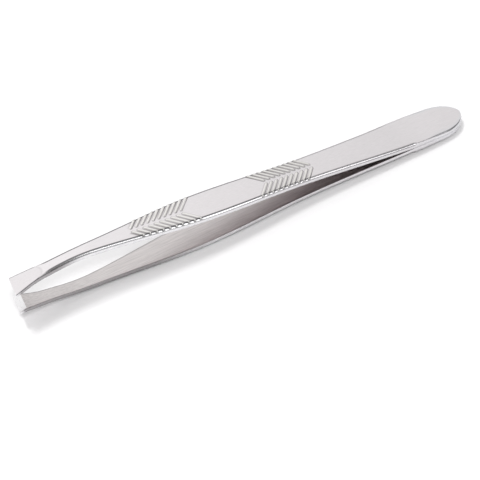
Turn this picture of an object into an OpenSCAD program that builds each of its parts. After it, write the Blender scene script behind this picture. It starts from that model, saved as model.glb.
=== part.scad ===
// Slant tweezers: two bowed spring-steel arms, spot welded together at the tail.
// Each arm is drawn with X from the tips to the tail, Y across and Z out from the
// middle plane, then both are laid on the bench on the lower arm's outer face.

/* [Overall] */
// Length from the tips to the end of the tail
length = 95; // [80:1:125]
// Thickness of the steel strip
strip_t = 1.05; // [0.8:0.05:1.4]
// From the middle plane out to each arm's belly
bow_h = 4.75; // [3.8:0.05:6.5]
// From the tips back to the belly
bow_x = 15; // [11:0.5:19]
// Slope of each arm where it meets the welded tail
root_slope = 0.05; // [0.03:0.005:0.08]

/* [Widths] */
// Width across the tips
tip_w = 4.3; // [3.4:0.1:6]
// Width of the neck behind the tips
neck_w = 2.85; // [2.4:0.05:3.8]
// Width at the front grip
grip_w = 6.6; // [5.5:0.1:8]
// Width at the waist behind the grips
waist_w = 6.2; // [5:0.1:7.5]
// Width across the tail
tail_w = 7.9; // [6.5:0.1:9.5]
// Polished bevel along an arm's outer edges
bevel_w = 0.38; // [0.2:0.02:0.5]

/* [Where the widths fall, from the tips] */
// Length of the ground tip, from its end to the neck
pad_len = 5; // [4:0.25:6]
// End of the neck
neck_x = 14; // [11:0.5:17]
// Widest place of the front grip
grip_x = 35; // [29:0.5:42]
// Waist behind the rear grip
waist_x = 57; // [50:0.5:65]

/* [Tips] */
// Opening between the tips at rest
tip_gap = 4.3; // [3.5:0.1:5.5]
// Thickness of the strip at the tips, before the gripping land is ground
tip_t = 0.7; // [0.55:0.05:0.9]
// Thickness left at the very end of each tip
tip_edge = 0.3; // [0.2:0.05:0.4]
// Slope of the outer face at the tips
tip_slope = 0.3; // [0.2:0.02:0.36]
// Slant of the tips, in degrees from square
slant = 3.5; // [0:0.5:12]
// Air left between the gripping lands when the tips are closed
land_air = 0.01; // [0:0.005:0.02]

/* [Grips] */
// Where the front grip's first ridge starts, on the centre line
front_grip_x = 22; // [19:0.5:24]
// Where the rear grip's last ridge starts, on the centre line
rear_grip_x = 60; // [56:0.5:64]
// Ridges in each half of a grip
ridge_count = 10; // [6:1:11]
// Distance from one ridge to the next, along the arm
ridge_pitch = 1.1; // [0.9:0.05:1.2]
// Width of a ridge
ridge_w = 0.5; // [0.35:0.05:0.6]
// Height of a ridge above the outer face
ridge_h = 0.18; // [0.1:0.02:0.3]
// Angle of a ridge from the centre line, in degrees
ridge_angle = 47; // [35:1:60]
// Distance kept between a ridge's end and the edge of the strip
ridge_margin = 0.12; // [0.05:0.01:0.3]
// Distance from the centre line to where a ridge starts
ridge_start = 0.3; // [0.25:0.05:0.5]

/* [Tail] */
// Length of the welded tail
weld_len = 13; // [10:0.5:16]
// Length of the tail's rounded end
tail_round = 6.3; // [4:0.1:8]
// Distance from the arms' bending place to the front of the weld
root_gap = 1; // [0.5:0.1:2]
// Hairline between each bending arm and its tail plate
root_air = 0.02; // [0.01:0.01:0.05]
// Diameter of a spot weld
weld_d = 3; // [2:0.1:3.6]
// Depth of a spot weld into each strip
weld_depth = 0.45; // [0.3:0.05:0.55]
// Distance between the two spot welds
weld_pitch = 4.4; // [4:0.1:5]

/* [Hidden] */

weld_x = length - weld_len;
root_x = weld_x - root_gap;
round_x = length - tail_round;
tail_x = weld_x + weld_len / 4;
belly_slope = -0.03;
tip_bevel = 0.08;
tip_step = 0.5;
arm_step = 1.5;
tail_step = 0.5;
arc_steps = 16;
far = 20;
steel = "silver";
bright_steel = "gainsboro";
weld_grey = "slategray";

// Cubic curve from (x0, v0) to (x1, v1) with slopes m0 and m1
function cubic(x, x0, v0, m0, x1, v1, m1) =
    let (w = x1 - x0, t = (x - x0) / w, tt = t * t, ttt = tt * t)
    v0 * (2 * ttt - 3 * tt + 1) + m0 * w * (ttt - 2 * tt + t)
    + v1 * (3 * tt - 2 * ttt) + m1 * w * (ttt - tt);

function smooth(x, x0, x1) =
    let (t = min(1, max(0, (x - x0) / (x1 - x0)))) t * t * (3 - 2 * t);

// Half widths along an arm, as [place, half width]
width_stations = [
    [0, tip_w / 2],
    [pad_len, neck_w / 2],
    [neck_x, neck_w / 2],
    [grip_x, grip_w / 2],
    [waist_x, waist_w / 2],
    [tail_x, tail_w / 2],
];
last_station = len(width_stations) - 1;

// Slope of the width curve at station i, from its neighbours
function station_slope(i) =
    i == last_station ? 0 :
    let (a = width_stations[max(0, i - 1)], b = width_stations[i + 1])
    (b[1] - a[1]) / (b[0] - a[0]);

function station_of(x, i = 0) =
    i >= last_station - 1 || x < width_stations[i + 1][0] ? i : station_of(x, i + 1);

function half_width(x) =
    x >= tail_x ? tail_w / 2 :
    let (i = station_of(x), a = width_stations[i], b = width_stations[i + 1])
    cubic(x, a[0], a[1], station_slope(i), b[0], b[1], station_slope(i + 1));

// Outer face of an arm above the middle plane
function outer_z(x) =
    x < bow_x
    ? cubic(x, 0, tip_gap / 2 + tip_edge, tip_slope, bow_x, bow_h, belly_slope)
    : x < weld_x ? cubic(x, bow_x, bow_h, belly_slope, weld_x, strip_t, -root_slope)
    : strip_t;

function thickness(x) = tip_t + (strip_t - tip_t) * smooth(x, pad_len / 3, neck_x * 0.6);

function bevel(x) = tip_bevel + (bevel_w - tip_bevel) * smooth(x, pad_len * 0.7, pad_len * 1.4);

function strip_z(x) = x < weld_x ? outer_z(x) - thickness(x) : 0;

// Place on the strip's inner face about which an arm bends
root_z = strip_z(root_x);
tip_rise = tip_gap / 2 - root_z;
close_angle = atan(tip_rise / root_x) + asin((root_z - land_air) / norm([root_x, tip_rise]));

// The gripping land is ground level with the middle plane while the tips are closed
function land_z(x) = tip_gap / 2 - x * tan(close_angle);

function inner_z(x) = max(strip_z(x), land_z(x));

// How far the tips' slant moves a point along X
function slant_shift(x, y) = y * tan(slant) * max(0, 1 - x / pad_len);

// The bench touches the front grip of the lower arm and the end of its tail
lay_angle = max([for (x = [front_grip_x - ridge_w : tip_step : waist_x])
    atan((outer_z(x) + ridge_h - strip_t) / (length - x))]);
function bench_z(x) = strip_t + (length - x) * tan(lay_angle);
lay_h = length * sin(lay_angle) + strip_t * cos(lay_angle);
tip_reach = -(tip_gap / 2 + tip_edge) * sin(lay_angle) - tip_w / 2 * tan(slant);
tail_reach = length * cos(lay_angle) + strip_t * sin(lay_angle);

arm_places = [
    each [for (x = [0 : tip_step : neck_x - tip_step]) x],
    each [for (x = [neck_x : arm_step : root_x - arm_step]) x],
    root_x - root_air,
];

// Section of an arm at x: inner face, sides, bevels and outer face
function section(x) =
    let (w = half_width(x), b = bevel(x), i = inner_z(x), o = outer_z(x))
    [for (p = [[-w, i], [-w, o - b], [b - w, o], [w - b, o], [w, o - b], [w, i]])
        [x + slant_shift(x, p[0]), p[0], p[1]]];

// Skin through equal sections, closed at both ends
module swept(places) {
    sections = [for (x = places) section(x)];
    n = len(sections[0]);
    rows = len(sections);
    sides = [for (r = [0 : rows - 2], k = [0 : n - 1])
        [r * n + k, r * n + (k + 1) % n, (r + 1) * n + (k + 1) % n, (r + 1) * n + k]];
    first = [for (k = [n - 1 : -1 : 0]) k];
    last = [for (k = [0 : n - 1]) (rows - 1) * n + k];
    polyhedron([for (s = sections) each s], [first, each sides, last], 4);
}

// Outline of one ridge seen from above, along X with round ends
function capsule(reach, wide) =
    let (r = wide / 2, turn = 360 / arc_steps, half = [0 : arc_steps / 2])
    concat(
        [for (k = half) [reach - r + r * cos(turn * k - 90), r * sin(turn * k - 90)]],
        [for (k = half) [r + r * cos(turn * k + 90), r * sin(turn * k + 90)]]
    );

// How far out from the centre line a ridge reaches when it starts at x and runs along dir
function ridge_reach(x, dir, tries = 4, y = 0) =
    tries == 0 ? y :
    ridge_reach(x, dir, tries - 1, half_width(x + dir * y / tan(ridge_angle)) - ridge_margin);

module ridge(x, dir, side) {
    reach = (ridge_reach(x, dir) - ridge_start) / sin(ridge_angle);
    translate([x + dir * ridge_start / tan(ridge_angle), side * ridge_start, 0])
        rotate([0, 0, dir > 0 ? side * ridge_angle : 180 - side * ridge_angle])
            linear_extrude(far) polygon(capsule(reach, ridge_w));
}

// The front grip's ridges are pressed level with the bench, the rear grip's follow the outer face
function ridge_top(x, dir) = dir > 0 ? bench_z(x) : outer_z(x) + ridge_h;

// Layer over the outer face, from the bevel's foot to the ridges' tops
module ridge_layer(x0, x1, dir) {
    places = [for (x = [x0 : arm_step / 2 : x1]) x];
    ends = [x0, places[len(places) - 1]];
    top = [for (x = dir > 0 ? ends : places) [x, ridge_top(x, dir)]];
    foot = [for (k = [len(places) - 1 : -1 : 0]) [places[k], outer_z(places[k]) - bevel_w]];
    rotate([90, 0, 0]) linear_extrude(far, center = true) polygon([each top, each foot]);
}

// Herringbone grip: dir is 1 where its ridges sweep to the tail, -1 where they sweep to the tips
module grip(x, dir) {
    run = (ridge_count - 1) * ridge_pitch + grip_w / tan(ridge_angle);
    intersection() {
        ridge_layer(dir > 0 ? x - ridge_w : x - run, dir > 0 ? x + run : x + ridge_w, dir);
        for (k = [0 : ridge_count - 1], side = [-1, 1]) ridge(x + dir * k * ridge_pitch, dir, side);
    }
}

// One arm from its tip to the place where it bends, with both grips raised on its outer face
module arm() {
    swept(arm_places);
    grip(front_grip_x, 1);
    grip(rear_grip_x, -1);
}

// Tail of a strip seen from the side: it leaves the middle plane just ahead of the weld
module tail_side() {
    places = [for (x = [root_x : tail_step : weld_x]) x];
    top = [for (x = places) [x, outer_z(x)]];
    foot = [for (k = [len(places) - 1 : -1 : 0]) [places[k], strip_z(places[k])]];
    polygon([each top, [length, strip_t], [length, 0], each foot]);
}

// Tail of a strip seen from above, with an elliptical end
module tail_plan() {
    run = [for (x = [root_x : tail_step : round_x]) [x, half_width(x)]];
    turn = 90 / arc_steps;
    end = [for (k = [1 : arc_steps - 1])
        [round_x + tail_round * sin(turn * k), tail_w / 2 * cos(turn * k)]];
    rim = [each run, each end];
    back = [for (k = [len(rim) - 1 : -1 : 0]) [rim[k][0], -rim[k][1]]];
    polygon([each rim, [length, 0], each back]);
}

// Places of the spot welds, on the centre line of the tail
weld_places = [for (side = [-1, 1]) weld_x + weld_len / 2 + side * weld_pitch / 2];

module weld_cores(depth) {
    for (x = weld_places) translate([x, 0, -depth]) cylinder(d = weld_d, h = 2 * depth, $fn = 64);
}

module tail() {
    difference() {
        intersection() {
            rotate([90, 0, 0]) linear_extrude(far, center = true) tail_side();
            linear_extrude(far, center = true) tail_plan();
        }
        weld_cores(weld_depth);
    }
}

// Lays the tweezers on the bench, with the middle of their box over the origin
module laid() {
    translate([-(tip_reach + tail_reach) / 2, 0, lay_h]) rotate([0, lay_angle, 0]) children();
}

module upper_arm() {
    color(bright_steel) laid() arm();
}

module upper_tail() {
    color(steel) laid() tail();
}

module lower_arm() {
    color(bright_steel) laid() mirror([0, 0, 1]) arm();
}

module lower_tail() {
    color(steel) laid() mirror([0, 0, 1]) tail();
}

module spot_welds() {
    color(weld_grey) laid() weld_cores(weld_depth);
}

upper_arm();
upper_tail();
lower_arm();
lower_tail();
spot_welds();
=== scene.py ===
"""Slant tweezers: two bowed, brushed steel strips spot welded at the tail, on a pale studio floor."""
import math

import bpy
from mathutils import Matrix, Vector


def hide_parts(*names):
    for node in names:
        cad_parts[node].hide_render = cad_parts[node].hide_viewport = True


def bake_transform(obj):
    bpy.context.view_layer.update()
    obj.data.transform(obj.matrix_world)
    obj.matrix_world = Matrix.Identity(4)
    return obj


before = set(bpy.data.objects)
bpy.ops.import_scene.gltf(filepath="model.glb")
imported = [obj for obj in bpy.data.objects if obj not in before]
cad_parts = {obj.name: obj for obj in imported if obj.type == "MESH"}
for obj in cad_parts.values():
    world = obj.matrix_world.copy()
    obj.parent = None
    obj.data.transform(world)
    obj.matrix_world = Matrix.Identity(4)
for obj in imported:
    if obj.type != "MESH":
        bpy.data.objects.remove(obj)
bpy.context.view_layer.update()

MM = 0.001

# Sizes of the tweezers, in millimetres, as the CAD has them
LENGTH = 95.0
STRIP_T = 1.05
BOW_H = 4.75
BOW_X = 15.0
ROOT_SLOPE = 0.05
BELLY_SLOPE = -0.03
TIP_W = 4.3
NECK_W = 2.85
GRIP_W = 6.6
WAIST_W = 6.2
TAIL_W = 7.9
BEVEL_W = 0.38
TIP_BEVEL = 0.08
PAD_LEN = 5.0
NECK_X = 14.0
GRIP_X = 35.0
WAIST_X = 57.0
TIP_GAP = 4.3
TIP_T = 0.7
TIP_EDGE = 0.3
TIP_SLOPE = 0.3
SLANT = math.radians(3.5)
FRONT_GRIP_X = 22.0
REAR_GRIP_X = 60.0
RIDGE_COUNT = 10
RIDGE_PITCH = 1.1
RIDGE_W = 0.5
RIDGE_H = 0.18
RIDGE_ANGLE = math.radians(47)
RIDGE_MARGIN = 0.12
RIDGE_START = 0.3
WELD_LEN = 13.0
TAIL_ROUND = 6.3
RIM_ROUND = 0.3
WELD_X = LENGTH - WELD_LEN
ROUND_X = LENGTH - TAIL_ROUND
TAIL_X = WELD_X + WELD_LEN / 4
ROOT_X = WELD_X - 1.0
TIP_THICKENS = (PAD_LEN / 3, NECK_X * 0.6)


def cubic(x, x0, v0, m0, x1, v1, m1):
    """Curve from (x0, v0) to (x1, v1) with slopes m0 and m1."""
    wide = x1 - x0
    t = (x - x0) / wide
    tt, ttt = t * t, t * t * t
    rise = v0 * (2 * ttt - 3 * tt + 1) + v1 * (3 * tt - 2 * ttt)
    return rise + wide * (m0 * (ttt - 2 * tt + t) + m1 * (ttt - tt))


def smooth(x, x0, x1):
    """0 before x0, 1 after x1, and a soft step between."""
    t = min(1.0, max(0.0, (x - x0) / (x1 - x0)))
    return t * t * (3 - 2 * t)


# Where along the strip, and half its width there
WIDTHS = [
    (0.0, TIP_W / 2),
    (PAD_LEN, NECK_W / 2),
    (NECK_X, NECK_W / 2),
    (GRIP_X, GRIP_W / 2),
    (WAIST_X, WAIST_W / 2),
    (TAIL_X, TAIL_W / 2),
]


def width_slope(i):
    """Slope of the outline at one of WIDTHS, from its neighbours."""
    if i == len(WIDTHS) - 1:
        return 0.0
    a, b = WIDTHS[max(0, i - 1)], WIDTHS[i + 1]
    return (b[1] - a[1]) / (b[0] - a[0])


def half_width(x):
    """Half the strip's width at x, with the elliptical end of the tail."""
    if x >= ROUND_X:
        t = min(1.0, (x - ROUND_X) / TAIL_ROUND)
        return TAIL_W / 2 * math.sqrt(max(0.0, 1 - t * t))
    if x >= TAIL_X:
        return TAIL_W / 2
    i = max(k for k in range(len(WIDTHS) - 1) if k == 0 or x >= WIDTHS[k][0])
    a, b = WIDTHS[i], WIDTHS[i + 1]
    return cubic(x, a[0], a[1], width_slope(i), b[0], b[1], width_slope(i + 1))


def outer_z(x):
    """Height of the outer face over the middle plane."""
    if x < BOW_X:
        return cubic(x, 0, TIP_GAP / 2 + TIP_EDGE, TIP_SLOPE, BOW_X, BOW_H, BELLY_SLOPE)
    if x < WELD_X:
        return cubic(x, BOW_X, BOW_H, BELLY_SLOPE, WELD_X, STRIP_T, -ROOT_SLOPE)
    return STRIP_T


WELD_EASE = 4.0


def eased_z(x):
    """Outer face with the slight bend at the weld eased, as pressing leaves it."""
    off = (x - WELD_X) / WELD_EASE
    if abs(off) >= 1:
        return outer_z(x)
    eased = (1 - off) ** 2 / 4
    return outer_z(x) + ROOT_SLOPE * WELD_EASE * (eased - max(0.0, -off))


def strip_z(x):
    """Height of the strip's inner face before the land is ground in it."""
    thick = TIP_T + (STRIP_T - TIP_T) * smooth(x, *TIP_THICKENS)
    return outer_z(x) - thick if x < WELD_X else 0.0


ROOT_Z = strip_z(ROOT_X)
TIP_RISE = TIP_GAP / 2 - ROOT_Z
CLOSE_ANGLE = math.atan(TIP_RISE / ROOT_X) + math.asin(ROOT_Z / math.hypot(ROOT_X, TIP_RISE))


def inner_z(x):
    """Inner face, with the gripping land ground level with the middle plane of the closed tweezers."""
    return max(strip_z(x), TIP_GAP / 2 - x * math.tan(CLOSE_ANGLE))


def bench_angle(x):
    """How far the tweezers tilt if they lie on a ridge at x and on the end of the tail."""
    return math.atan((outer_z(x) + RIDGE_H - STRIP_T) / (LENGTH - x))


BENCH_STEP = 0.5
BENCH_STEPS = 71
LAY_ANGLE = max(bench_angle(FRONT_GRIP_X - RIDGE_W + BENCH_STEP * k) for k in range(BENCH_STEPS))
LAY_H = LENGTH * math.sin(LAY_ANGLE) + STRIP_T * math.cos(LAY_ANGLE)
TIP_REACH = -(TIP_GAP / 2 + TIP_EDGE) * math.sin(LAY_ANGLE) - TIP_W / 2 * math.tan(SLANT)
TAIL_REACH = LENGTH * math.cos(LAY_ANGLE) + STRIP_T * math.sin(LAY_ANGLE)
LAY_PLACE = Vector((-(TIP_REACH + TAIL_REACH) / 2, 0.0, LAY_H))
LAY_TURN = Matrix.Rotation(LAY_ANGLE, 3, "Y")


def laid(x, y, z):
    """A point of the tweezers, in millimetres from the tips, as it lies on the bench, in metres."""
    return (LAY_TURN @ Vector((x, y, z)) + LAY_PLACE) * MM


# How the mesh is laid out: rows run across a strip, columns along it
FINE_STEP = 0.085
PLAIN_STEP = 0.5
GRIP_REACH = 0.9
FINE_AT_TIP = PAD_LEN * 1.5
FINE_AT_WELD = (WELD_X - 1.2, WELD_X + 0.6)
# A row starts to lean at the first place, leans fully between the next two, and is straight at the last
FRONT_SWEEP = (12, 20.5, 34, 42)
REAR_SWEEP = (40.5, 48.5, 61.5, 70)
FACE_COLUMNS = 52
INNER_COLUMNS = 14
BEVEL_COLUMNS = 5
EDGE_ROUND = 0.1
SEAM = 0.006
END_TURN = math.radians(87)
END_TURNS = 30

# The bevel narrows over this length before the weld, abruptly on the near side
NEAR_FADE = 0.9
FAR_FADE = 9.0
BEVEL_WIDENS = (PAD_LEN * 0.7, PAD_LEN * 1.4)
RIM_ROUNDS = (WELD_X + 1.5, ROUND_X + 1)
BEVEL_BULGE = 0.1
BULGE_OUT = 0.7
BEVEL_CREASE = 0.06
# The round along the inner edge takes at most this share of the side, and bulges this much
ROUND_MOST = 0.3
ROUND_BULGE = 0.3
SIDE_DROPS = (0.0, 0.5, 1.0)


def sweep(s):
    """How much a row leans along the ridges: 1 in the front grip, -1 in the rear one, 0 between."""
    in_0, in_1, out_0, out_1 = FRONT_SWEEP
    front = smooth(s, in_0, in_1) - smooth(s, out_0, out_1)
    in_0, in_1, out_0, out_1 = REAR_SWEEP
    rear = smooth(s, in_0, in_1) - smooth(s, out_0, out_1)
    return front - rear


def bevel(x, y):
    """Width of the bevel: narrow at the tips, gone at the weld, a soft round-over at the end of the tail."""
    fade = FAR_FADE if y > 0 else NEAR_FADE
    wide = TIP_BEVEL + (BEVEL_W - TIP_BEVEL) * smooth(x, *BEVEL_WIDENS)
    wide -= (BEVEL_W - EDGE_ROUND) * smooth(x, WELD_X - fade, WELD_X + 0.1)
    return wide + (RIM_ROUND - EDGE_ROUND) * smooth(x, *RIM_ROUNDS)


def ridge_distance(x, y, w):
    """Distance from the nearest ridge's centre line where the face reaches w each way, and 1 or -1.

    1 is on the ridge's -Y side and -1 on its +Y side.
    """
    half = 1 if y > 0 else -1
    y = abs(y)
    front = x < (FRONT_GRIP_X + REAR_GRIP_X) / 2
    lean = 1 / math.tan(RIDGE_ANGLE) if front else -1 / math.tan(RIDGE_ANGLE)
    first = FRONT_GRIP_X if front else REAR_GRIP_X
    count = (x - lean * y - first) / (RIDGE_PITCH if front else -RIDGE_PITCH)
    nearest = min(RIDGE_COUNT - 1, max(0, round(count)))
    foot = first + (nearest if front else -nearest) * RIDGE_PITCH
    inner = RIDGE_START + RIDGE_W / 2
    outer = w - RIDGE_MARGIN - RIDGE_W / 2
    along = ((x - foot) * lean + y) / (lean * lean + 1)
    along = min(outer, max(inner, along))
    beside = 1 if (x - foot - lean * y) * lean * half > 0 else -1
    return math.hypot(x - foot - lean * along, y - along), beside


def row_places():
    """Where the rows cross the centre line: close together in the grips, and round the end of the tail."""
    places = []
    s = 0.0
    while s < ROUND_X:
        places.append(s)
        in_front = FRONT_GRIP_X - GRIP_REACH < s < FRONT_GRIP_X + RIDGE_COUNT * RIDGE_PITCH
        in_rear = REAR_GRIP_X - RIDGE_COUNT * RIDGE_PITCH < s < REAR_GRIP_X + GRIP_REACH
        near_tip = s < FINE_AT_TIP
        at_weld = FINE_AT_WELD[0] < s < FINE_AT_WELD[1]
        s += FINE_STEP if in_front or in_rear or near_tip or at_weld else PLAIN_STEP
    step = END_TURN / END_TURNS
    return places + [ROUND_X + TAIL_ROUND * math.sin(step * k) for k in range(END_TURNS + 1)]


SETTLING_ROUNDS = 6


def on_row(s, share, inset):
    """x and y on row s at a share of its width, kept inset from the edge."""
    lean = sweep(s) / math.tan(RIDGE_ANGLE)
    y = share * half_width(s)
    for _ in range(SETTLING_ROUNDS if lean else 1):
        y = share * (half_width(s + lean * abs(y)) - inset)
    return s + lean * abs(y), y


# Marks and painted shade on the steel, in millimetres. A ridge's top, its foot and the painted shadow at its
# foot are placed in ridge widths
RIDGE_TOP = 0.24
RIDGE_FOOT = 0.56
RIDGE_RUN_OUT = 0.3
RIDGE_SHADOW_PLACE = 0.64
# The painted shadow at the ridges' foot softens, fades out right at the edge and is deepest near it, across
# these distances
RIDGE_SHADOW_SOFT = (0.03, 0.13)
RIDGE_SHADOW_ENDS = (0.1, 0.3)
RIDGE_SHADOW_DEEPEST = (1.8, 0.6)
LINE_REACH = 0.18
LINE_SHIFT = 0.03
LINE_FADES = (40, 62)
LINE_BREAKS = (4.2, 4.8)
LINE_RETURNS = (5.4, 6.6)
LINE_STOPS = (ROUND_X - 1, ROUND_X + 1.5)
CORNER_FROM = 0.2
PAD_ARCH = 5.4
PAD_CURVE = 0.4
PAD_LINE_SOFT = (0.05, 0.3)
RIM_WORN = (0.25, 1.1)
RIM_PLACE = (WELD_X + 1, ROUND_X + 1)
# The painted shade towards the tail grows between these places
TAIL_SHADE_PLACE = (24, 66)
# Painted shade darkens the sides by the tips, from the corner as far as these reaches on the upper and the
# lower arm
SIDE_SHADE_FROM = (0.2, 1.0)
UPPER_SIDE_SHADE = 12.0
LOWER_SIDE_SHADE = 36.0

# How strongly they show, and as a share of their reach, where they soften
# The painted shadow at the ridges' foot keeps these shares on their +Y side and away from the edge
RIDGE_SHADOW_PALE_SIDE = 0.35
RIDGE_SHADOW_INWARD = 0.72
LINE_OF_BEVEL = 0.9
LINE_CORE = 0.3
LINE_LOST_BY_TAIL = 0.35
LINE_LOST_IN_BREAK = 0.8
LINE_LOST_ON_RIDGE = 0.75
CORNER_LINE = 0.6
PAD_LINE = 0.15
PAD_SHADE = 0.06
# Where the painted shade on the sides by the tips softens, as shares of its reach
SIDE_SHADE_SOFT = (0.65, 1.1)


class Point:
    """One point of a strip's surface, and what its steel looks like there."""

    def __init__(self, x, y, z, zone):
        self.x, self.y, self.z, self.zone = x, y, z, zone
        w = half_width(x)
        self.away, self.beside = ridge_distance(x, y, w)
        self.inset = w - abs(y)
        self.corner = 0.0
        self.ridge = 0.0
        if zone in ("face", "bevel"):
            self.ridge = 1 - smooth(self.away, RIDGE_W * RIDGE_TOP, RIDGE_W * RIDGE_FOOT)
            self.z += RIDGE_H * self.ridge * smooth(self.inset, 0.0, RIDGE_RUN_OUT)

    def slanted(self):
        """x with the slant of the tips added."""
        return self.x + self.y * math.tan(SLANT) * max(0.0, 1 - self.x / PAD_LEN)

    def ridge_foot_shadow(self):
        """How dark the painted shadow at the foot of the ridges is here, stronger on their -Y side."""
        if self.zone == "inner":
            return 0.0
        foot = 1 - smooth(abs(self.away - RIDGE_W * RIDGE_SHADOW_PLACE), *RIDGE_SHADOW_SOFT)
        foot *= 1.0 if self.beside > 0 else RIDGE_SHADOW_PALE_SIDE
        foot *= RIDGE_SHADOW_INWARD + (1 - RIDGE_SHADOW_INWARD) * smooth(self.inset, *RIDGE_SHADOW_DEEPEST)
        return foot * smooth(self.inset, *RIDGE_SHADOW_ENDS)

    def edge_line(self):
        """How dark the painted dark reflection lines are where the bevel meets the face and the side."""
        if self.zone in ("inner", "side"):
            return self.corner
        flat = bevel(self.x, self.y)
        reach = min(LINE_REACH, LINE_OF_BEVEL * flat)
        line = 1 - smooth(abs(self.inset - flat - LINE_SHIFT), LINE_CORE * reach, reach)
        fade = 1 - LINE_LOST_BY_TAIL * smooth(self.x, *LINE_FADES)
        gap = smooth(self.x, *LINE_BREAKS) * (1 - smooth(self.x, *LINE_RETURNS))
        broken = 1 - LINE_LOST_IN_BREAK * gap
        on_ridge = 1 - LINE_LOST_ON_RIDGE * self.ridge
        line *= fade * broken * on_ridge * (1 - smooth(self.x, *LINE_STOPS))
        return max(line, self.corner, self.pad())

    def pad(self):
        """How dark the ground pad behind the tip's edge is, with the faint arch where its grinding ends."""
        if self.zone != "face":
            return 0.0
        arch = PAD_ARCH - PAD_CURVE * self.y ** 2
        line = 1 - smooth(abs(self.x - arch), *PAD_LINE_SOFT)
        inside = 1 - smooth(self.x, arch - PAD_LINE_SOFT[1], arch)
        return PAD_LINE * line + PAD_SHADE * inside

    def rim(self):
        """How worn bright the steel is by the end of the tail."""
        return (1 - smooth(self.inset, *RIM_WORN)) * smooth(self.x, *RIM_PLACE)

    def tail_shade(self):
        """How much painted shade darkens the steel: more towards the tail, between the arms."""
        return smooth(self.x, *TAIL_SHADE_PLACE)

    def ground(self, reach):
        """How dark the painted shade on the sides and bevels is by the tips, as far as reach."""
        if self.zone not in ("bevel", "side"):
            return 0.0
        fades, ends = SIDE_SHADE_SOFT
        return smooth(self.x, *SIDE_SHADE_FROM) * (1 - smooth(self.x, fades * reach, ends * reach))


def section(s):
    """One row of a strip: outer face, bevel and side, inner face, then round to the start."""
    points = []
    for k in range(FACE_COLUMNS + 1):
        share = -1 + 2 * k / FACE_COLUMNS
        x, y = on_row(s, share, bevel(s, share))
        points.append(Point(x, y, eased_z(x), "face"))
    for side in (1, -1):
        flat = bevel(s, side)
        x, y = on_row(s, side, flat)
        wide = abs(y) + flat
        top, foot = eased_z(x), inner_z(x) + SEAM
        low = min(EDGE_ROUND, ROUND_MOST * (top - foot))
        edge = []
        for k in range(1, BEVEL_COLUMNS + 1):
            t = k / BEVEL_COLUMNS
            bulge = BEVEL_BULGE * flat * math.sin(math.pi * t)
            out = abs(y) + flat * t + bulge * BULGE_OUT
            edge.append(Point(x, side * out, top - flat * t + bulge, "bevel"))
        # Painted dark reflection along the corner of the bevel and the side
        edge[-1].corner = CORNER_LINE * smooth(flat, CORNER_FROM, BEVEL_W)
        side_top = top - flat - BEVEL_CREASE
        for drop in SIDE_DROPS:
            edge.append(Point(x, side * wide, side_top + drop * (foot + low - side_top), "side"))
        edge.append(Point(x, side * (wide - ROUND_BULGE * low), foot + ROUND_BULGE * low, "side"))
        edge.append(Point(x, side * (wide - low), foot, "side"))
        if side == 1:
            points += edge
            for j in range(1, INNER_COLUMNS):
                share = 1 - 2 * j / INNER_COLUMNS
                xi = s + (x - s) * abs(share)
                points.append(Point(xi, share * (wide - low), inner_z(xi) + SEAM, "inner"))
        else:
            points += edge[::-1]
    return points


ZONES = ("face", "bevel", "side", "inner", "land")
SHARP_ANGLE = math.radians(35)
LEAST_GROUND = 1e-6


def zone_of(a, b):
    """The zone of the surface between two neighbouring points of a row."""
    if "inner" in (a.zone, b.zone):
        return "land" if strip_z(a.x) < inner_z(a.x) - LEAST_GROUND else "inner"
    for zone in ("bevel", "side"):
        if zone in (a.zone, b.zone):
            return zone
    return "face"


def strip_mesh(name, rows, flip):
    """One whole strip, tip to tail; flip 1 is the upper one and -1 the lower."""
    n = len(rows[0])
    points = [p for row in rows for p in row]
    faces, zones = [], []
    for r in range(len(rows) - 1):
        for k in range(n):
            j = (k + 1) % n
            quad = (r * n + k, r * n + j, (r + 1) * n + j, (r + 1) * n + k)
            faces.append(quad[::-flip])
            zones.append(ZONES.index(zone_of(rows[r][k], rows[r][j])))
    first = tuple(range(n))
    last = tuple((len(rows) - 1) * n + k for k in range(n))
    faces += [first[::flip], last[::-flip]]
    zones += [ZONES.index("land"), ZONES.index("side")]
    mesh = bpy.data.meshes.new(name)
    mesh.from_pydata([laid(p.slanted(), p.y, flip * p.z) for p in points], [], faces)
    for polygon, zone in zip(mesh.polygons, zones):
        polygon.material_index = zone
        polygon.use_smooth = True
    # The painted shade on the sides by the tips reaches further along the lower arm
    reach = UPPER_SIDE_SHADE if flip == 1 else LOWER_SIDE_SHADE
    # The marks, among them painted shade: the shadow at the ridges' foot, the dark edge lines, the shade by
    # the tips and towards the tail
    marks = {
        "ridge": [p.ridge for p in points],
        "ridge_foot_shadow": [p.ridge_foot_shadow() for p in points],
        "edge_line": [p.edge_line() for p in points],
        "rim": [p.rim() for p in points],
        "tail_shade": [p.tail_shade() for p in points],
        "ground": [p.ground(reach) for p in points],
    }
    for mark, values in marks.items():
        mesh.attributes.new(mark, "FLOAT", "POINT").data.foreach_set("value", values)
    mesh.set_sharp_from_angle(angle=SHARP_ANGLE)
    strip = bpy.data.objects.new(name, mesh)
    bpy.context.collection.objects.link(strip)
    return strip


# Materials

def node(tree, kind, **values):
    """A new shader node with its inputs or settings."""
    made = tree.nodes.new(kind)
    for key, value in values.items():
        if key in made.inputs:
            made.inputs[key].default_value = value
        else:
            setattr(made, key, value)
    return made


def streaks(tree, stretch, detail):
    """Noise drawn out along the strip, as brushing leaves it."""
    place = node(tree, "ShaderNodeTexCoord")
    mapping = node(tree, "ShaderNodeMapping", Scale=stretch)
    noise = node(tree, "ShaderNodeTexNoise", Scale=1.0, Detail=detail, Roughness=0.62)
    tree.links.new(place.outputs["Object"], mapping.inputs["Vector"])
    tree.links.new(mapping.outputs["Vector"], noise.inputs["Vector"])
    return noise.outputs["Fac"]


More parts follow.
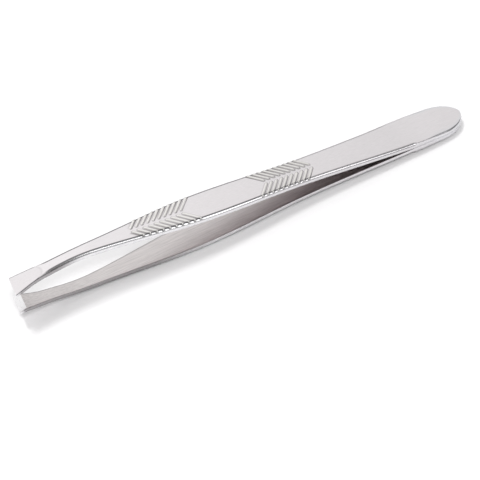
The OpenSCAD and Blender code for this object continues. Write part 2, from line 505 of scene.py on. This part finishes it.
def ranged(tree, value, low, high, to_low, to_high):
    """A value that goes from low to high, as one from to_low to to_high."""
    made = node(tree, "ShaderNodeMapRange", **{"From Min": low, "From Max": high})
    made.inputs["To Min"].default_value = to_low
    made.inputs["To Max"].default_value = to_high
    tree.links.new(value, made.inputs["Value"])
    return made.outputs["Result"]


# Sockets of a colour mix, which has others of the same names for its other types
MIX_FACTOR, MIX_FIRST, MIX_SECOND, MIX_RESULT = 0, 6, 7, 2


def mixed(tree, factor, first, second, kind="MIX"):
    """Colour mix of first (a colour or a socket) and second (a colour)."""
    made = node(tree, "ShaderNodeMix", data_type="RGBA", blend_type=kind)
    tree.links.new(factor, made.inputs[MIX_FACTOR])
    if isinstance(first, tuple):
        made.inputs[MIX_FIRST].default_value = (*first, 1.0)
    else:
        tree.links.new(first, made.inputs[MIX_FIRST])
    made.inputs[MIX_SECOND].default_value = (*second, 1.0)
    return made.outputs[MIX_RESULT]


def mark_share(tree, name, most):
    """How much of one of the mesh's marks shows here, up to most."""
    attribute = node(tree, "ShaderNodeAttribute", attribute_name=name)
    return ranged(tree, attribute.outputs["Fac"], 0.0, 1.0, 0.0, most)


# The marks and painted shade in the order that they lie over each other, with the most that shows and the
# tone
MARKS = (
    ("ridge", 0.95, (0.97, 0.95, 0.92)),
    # painted shadow at the foot of the ridges, darker on their -Y side
    ("ridge_foot_shadow", 0.85, (0.16, 0.15, 0.15)),
    # painted dark reflection lines along the bevel's edges, with the pad's line and shade
    ("edge_line", 0.95, (0.1, 0.095, 0.1)),
    # painted shade on the sides and bevels by the tips
    ("ground", 0.85, (0.3, 0.285, 0.29)),
    ("rim", 0.8, (0.86, 0.87, 0.89)),
)
# Tone of the painted shade towards the tail, between the arms
TAIL_SHADE_TONE = (0.42, 0.37, 0.39)
BRUSHING = (0.3, 0.7)
BRUSHING_DETAIL = 5.0
BROAD_STRETCH = (70.0, 240.0, 240.0)
BROAD_DETAIL = 3.0
BROAD_RANGE = (0.35, 0.75)
BROAD_SHARE = 0.16
BRUSHING_DEPTH = 0.02 * MM


def steel(name, dark, light, gloss, relief, stretch, tail_shaded=0.0):
    """Steel between two tones.

    gloss is its range of roughness, relief the strength of its brushing, stretch how close the
    brushing lies each way, and the last how much painted shade darkens it towards the tail.
    """
    material = bpy.data.materials.new(name)
    material.use_nodes = True
    tree = material.node_tree
    shader = tree.nodes["Principled BSDF"]
    shader.inputs["Metallic"].default_value = 1.0
    fine = streaks(tree, stretch, BRUSHING_DETAIL)
    broad = streaks(tree, BROAD_STRETCH, BROAD_DETAIL)
    tone = mixed(tree, ranged(tree, fine, *BRUSHING, 0.0, 1.0), dark, light)
    tone = mixed(tree, ranged(tree, broad, *BROAD_RANGE, 0.0, BROAD_SHARE), tone, dark)
    for mark, most, colour in MARKS:
        tone = mixed(tree, mark_share(tree, mark, most), tone, colour)
    # Painted shade darkens the steel towards the tail, between the arms
    if tail_shaded:
        tone = mixed(tree, mark_share(tree, "tail_shade", tail_shaded), tone, TAIL_SHADE_TONE, "MULTIPLY")
    tree.links.new(tone, shader.inputs["Base Color"])
    tree.links.new(ranged(tree, fine, *BRUSHING, *gloss), shader.inputs["Roughness"])
    bump = node(tree, "ShaderNodeBump", Strength=relief, Distance=BRUSHING_DEPTH)
    tree.links.new(fine, bump.inputs["Height"])
    tree.links.new(bump.outputs["Normal"], shader.inputs["Normal"])
    return material


FACE_STEEL = steel(
    "brushed_face",
    dark=(0.85, 0.82, 0.83),
    light=(0.96, 0.925, 0.94),
    gloss=(0.28, 0.42),
    relief=0.35,
    stretch=(500.0, 9000.0, 9000.0),
)
BEVEL_STEEL = steel(
    "polished_bevel",
    dark=(0.84, 0.84, 0.86),
    light=(0.96, 0.96, 0.97),
    gloss=(0.14, 0.24),
    relief=0.1,
    stretch=(300.0, 6000.0, 6000.0),
    tail_shaded=0.35,
)
SIDE_STEEL = steel(
    "sheared_side",
    dark=(0.74, 0.735, 0.75),
    light=(0.92, 0.915, 0.93),
    gloss=(0.24, 0.36),
    relief=0.3,
    stretch=(900.0, 5000.0, 5000.0),
    tail_shaded=0.2,
)
INNER_STEEL = steel(
    "brushed_inner_face",
    dark=(0.58, 0.55, 0.545),
    light=(0.86, 0.82, 0.815),
    gloss=(0.3, 0.48),
    relief=0.7,
    stretch=(260.0, 6000.0, 6000.0),
    tail_shaded=0.6,
)
LAND_STEEL = steel(
    "ground_land",
    dark=(0.86, 0.85, 0.86),
    light=(0.95, 0.94, 0.945),
    gloss=(0.24, 0.36),
    relief=0.2,
    stretch=(6000.0, 700.0, 6000.0),
)
WELD_STEEL = steel(
    "spot_weld",
    dark=(0.36, 0.35, 0.34),
    light=(0.55, 0.53, 0.51),
    gloss=(0.4, 0.6),
    relief=0.8,
    stretch=(5000.0, 5000.0, 5000.0),
)

# The strips bend between the middle of the spring leg and the weld
ROWS = [section(s) for s in row_places()]
for name, arm, tail, flip in (
    ("upper_strip", "upper_arm", "upper_tail", 1),
    ("lower_strip", "lower_arm", "lower_tail", -1),
):
    strip = strip_mesh(name, ROWS, flip)
    for material in (FACE_STEEL, BEVEL_STEEL, SIDE_STEEL, INNER_STEEL, LAND_STEEL):
        strip.data.materials.append(material)
    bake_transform(strip)
    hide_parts(arm, tail)

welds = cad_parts["spot_welds"]
welds.data.materials.clear()
welds.data.materials.append(WELD_STEEL)


# Floor, light and camera

def worked_out(tree, operation, first, second):
    """The result of one operation on two sockets."""
    made = node(tree, "ShaderNodeMath", operation=operation)
    tree.links.new(first, made.inputs[0])
    tree.links.new(second, made.inputs[1])
    return made.outputs[0]


def seen_rays(tree):
    """1 for camera, glossy and transmission rays, which see the pale background, and 0 for light."""
    path = node(tree, "ShaderNodeLightPath").outputs
    direct = worked_out(tree, "MAXIMUM", path["Is Camera Ray"], path["Is Glossy Ray"])
    return worked_out(tree, "MAXIMUM", direct, path["Is Transmission Ray"])


FLOOR_COLOUR = (0.74, 0.735, 0.74, 1.0)
LIFT_COLOUR = (1.0, 0.96, 1.0, 1.0)
FLOOR_LIFT = 0.02
FAR_LIFT = 0.6
FLOOR_FADE = (0.12, 1.1)
FLOOR_SIDE = 3.0


def floor_material():
    """Matt pale floor, which glows a little far away, where the lamps don't reach."""
    material = bpy.data.materials.new("pale_floor")
    material.use_nodes = True
    tree = material.node_tree
    tree.nodes.clear()
    diffuse = node(tree, "ShaderNodeBsdfDiffuse", Color=FLOOR_COLOUR)
    glow = node(tree, "ShaderNodeEmission", Color=LIFT_COLOUR)
    both = node(tree, "ShaderNodeAddShader")
    out = node(tree, "ShaderNodeOutputMaterial")
    distance = node(tree, "ShaderNodeVectorMath", operation="LENGTH")
    tree.links.new(node(tree, "ShaderNodeTexCoord").outputs["Object"], distance.inputs[0])
    lift = ranged(tree, distance.outputs["Value"], *FLOOR_FADE, FLOOR_LIFT, FAR_LIFT)
    tree.links.new(worked_out(tree, "MULTIPLY", lift, seen_rays(tree)), glow.inputs["Strength"])
    tree.links.new(diffuse.outputs[0], both.inputs[0])
    tree.links.new(glow.outputs[0], both.inputs[1])
    tree.links.new(both.outputs[0], out.inputs["Surface"])
    return material


bpy.ops.mesh.primitive_plane_add(size=FLOOR_SIDE, location=(0, 0, 0))
floor = bpy.context.object
floor.name = "floor"
floor.data.materials.append(floor_material())

# The room is brightest high up at the back left, and white where the background shows
SKY_DIM = 0.24
SKY_BRIGHT = 1.0
SKY_RANGE = (0.0, 0.86)
BRIGHT_SIDE = (-0.3, 0.62, 0.72)
BACKDROP_TOP = 0.25
BACKDROP_FULL = 0.05
WHITE = (1.0, 1.0, 1.0, 1.0)


def studio_room():
    """The world: a soft gradient for light, and a white backdrop low down."""
    world = bpy.data.worlds.new("studio")
    world.use_nodes = True
    sky = world.node_tree
    direction = node(sky, "ShaderNodeTexCoord").outputs["Generated"]
    toward = node(sky, "ShaderNodeVectorMath", operation="DOT_PRODUCT")
    toward.inputs[1].default_value = BRIGHT_SIDE
    sky.links.new(direction, toward.inputs[0])
    room = ranged(sky, toward.outputs["Value"], *SKY_RANGE, SKY_DIM, SKY_BRIGHT)
    height = node(sky, "ShaderNodeSeparateXYZ")
    sky.links.new(direction, height.inputs[0])
    low_down = ranged(sky, height.outputs["Z"], BACKDROP_TOP, BACKDROP_FULL, 0.0, 1.0)
    backdrop = worked_out(sky, "MULTIPLY", low_down, seen_rays(sky))
    seen = node(sky, "ShaderNodeLightPath").outputs["Is Camera Ray"]
    white = worked_out(sky, "MAXIMUM", backdrop, seen)
    background = sky.nodes["Background"]
    sky.links.new(worked_out(sky, "MAXIMUM", room, white), background.inputs["Strength"])
    background.inputs["Color"].default_value = WHITE
    return world


bpy.context.scene.world = studio_room()

LAMP_DISTANCE = 0.9
OVERHEAD_SIDE = 0.17
FRONT_SIDE = 0.45


def softbox(name, toward, side, power):
    """A square lamp that way from the tweezers, aimed at them."""
    lamp = bpy.data.lights.new(name, "AREA")
    lamp.shape = "SQUARE"
    lamp.size = side
    lamp.energy = power
    box = bpy.data.objects.new(name, lamp)
    bpy.context.collection.objects.link(box)
    box.location = Vector(toward).normalized() * LAMP_DISTANCE
    box.rotation_euler = (-box.location).to_track_quat("-Z", "Y").to_euler()
    return box


softbox("key", (-0.12, 0.3, 0.94), OVERHEAD_SIDE, 3.3).visible_glossy = False
softbox("fill", (-0.05, -0.5, 0.87), OVERHEAD_SIDE, 2.9).visible_glossy = False
softbox("front", (0.35, -0.71, 0.61), FRONT_SIDE, 1.1)

# The camera, placed around the tweezers in millimetres before they are laid down
VIEW_TURN = math.radians(30.03)
VIEW_DROP = math.radians(45.2)
VIEW_DISTANCE = 200.5
VIEW_CENTRE = 47.5
LENS = 80.55
SENSOR_WIDTH = 36.0
SHIFT = (-0.03125, -0.0883)
NEAREST_SEEN = 5 * MM
level = math.cos(VIEW_DROP)
forward = Vector((math.sin(VIEW_TURN) * level, math.cos(VIEW_TURN) * level, -math.sin(VIEW_DROP)))
right = Vector((math.cos(VIEW_TURN), -math.sin(VIEW_TURN), 0.0))
up = right.cross(forward)
eye = Vector((VIEW_CENTRE, 0.0, 0.0)) - VIEW_DISTANCE * forward
camera = bpy.data.objects.new("camera", bpy.data.cameras.new("camera"))
bpy.context.collection.objects.link(camera)
camera.data.lens = LENS
camera.data.sensor_width = SENSOR_WIDTH
camera.data.shift_x, camera.data.shift_y = SHIFT
camera.data.clip_start = NEAREST_SEEN
turned = [LAY_TURN @ axis for axis in (right, up, -forward)]
camera.matrix_world = Matrix.Translation(laid(*eye)) @ Matrix(turned).transposed().to_4x4()
scene = bpy.context.scene
scene.camera = camera
scene.view_settings.view_transform = "Standard"
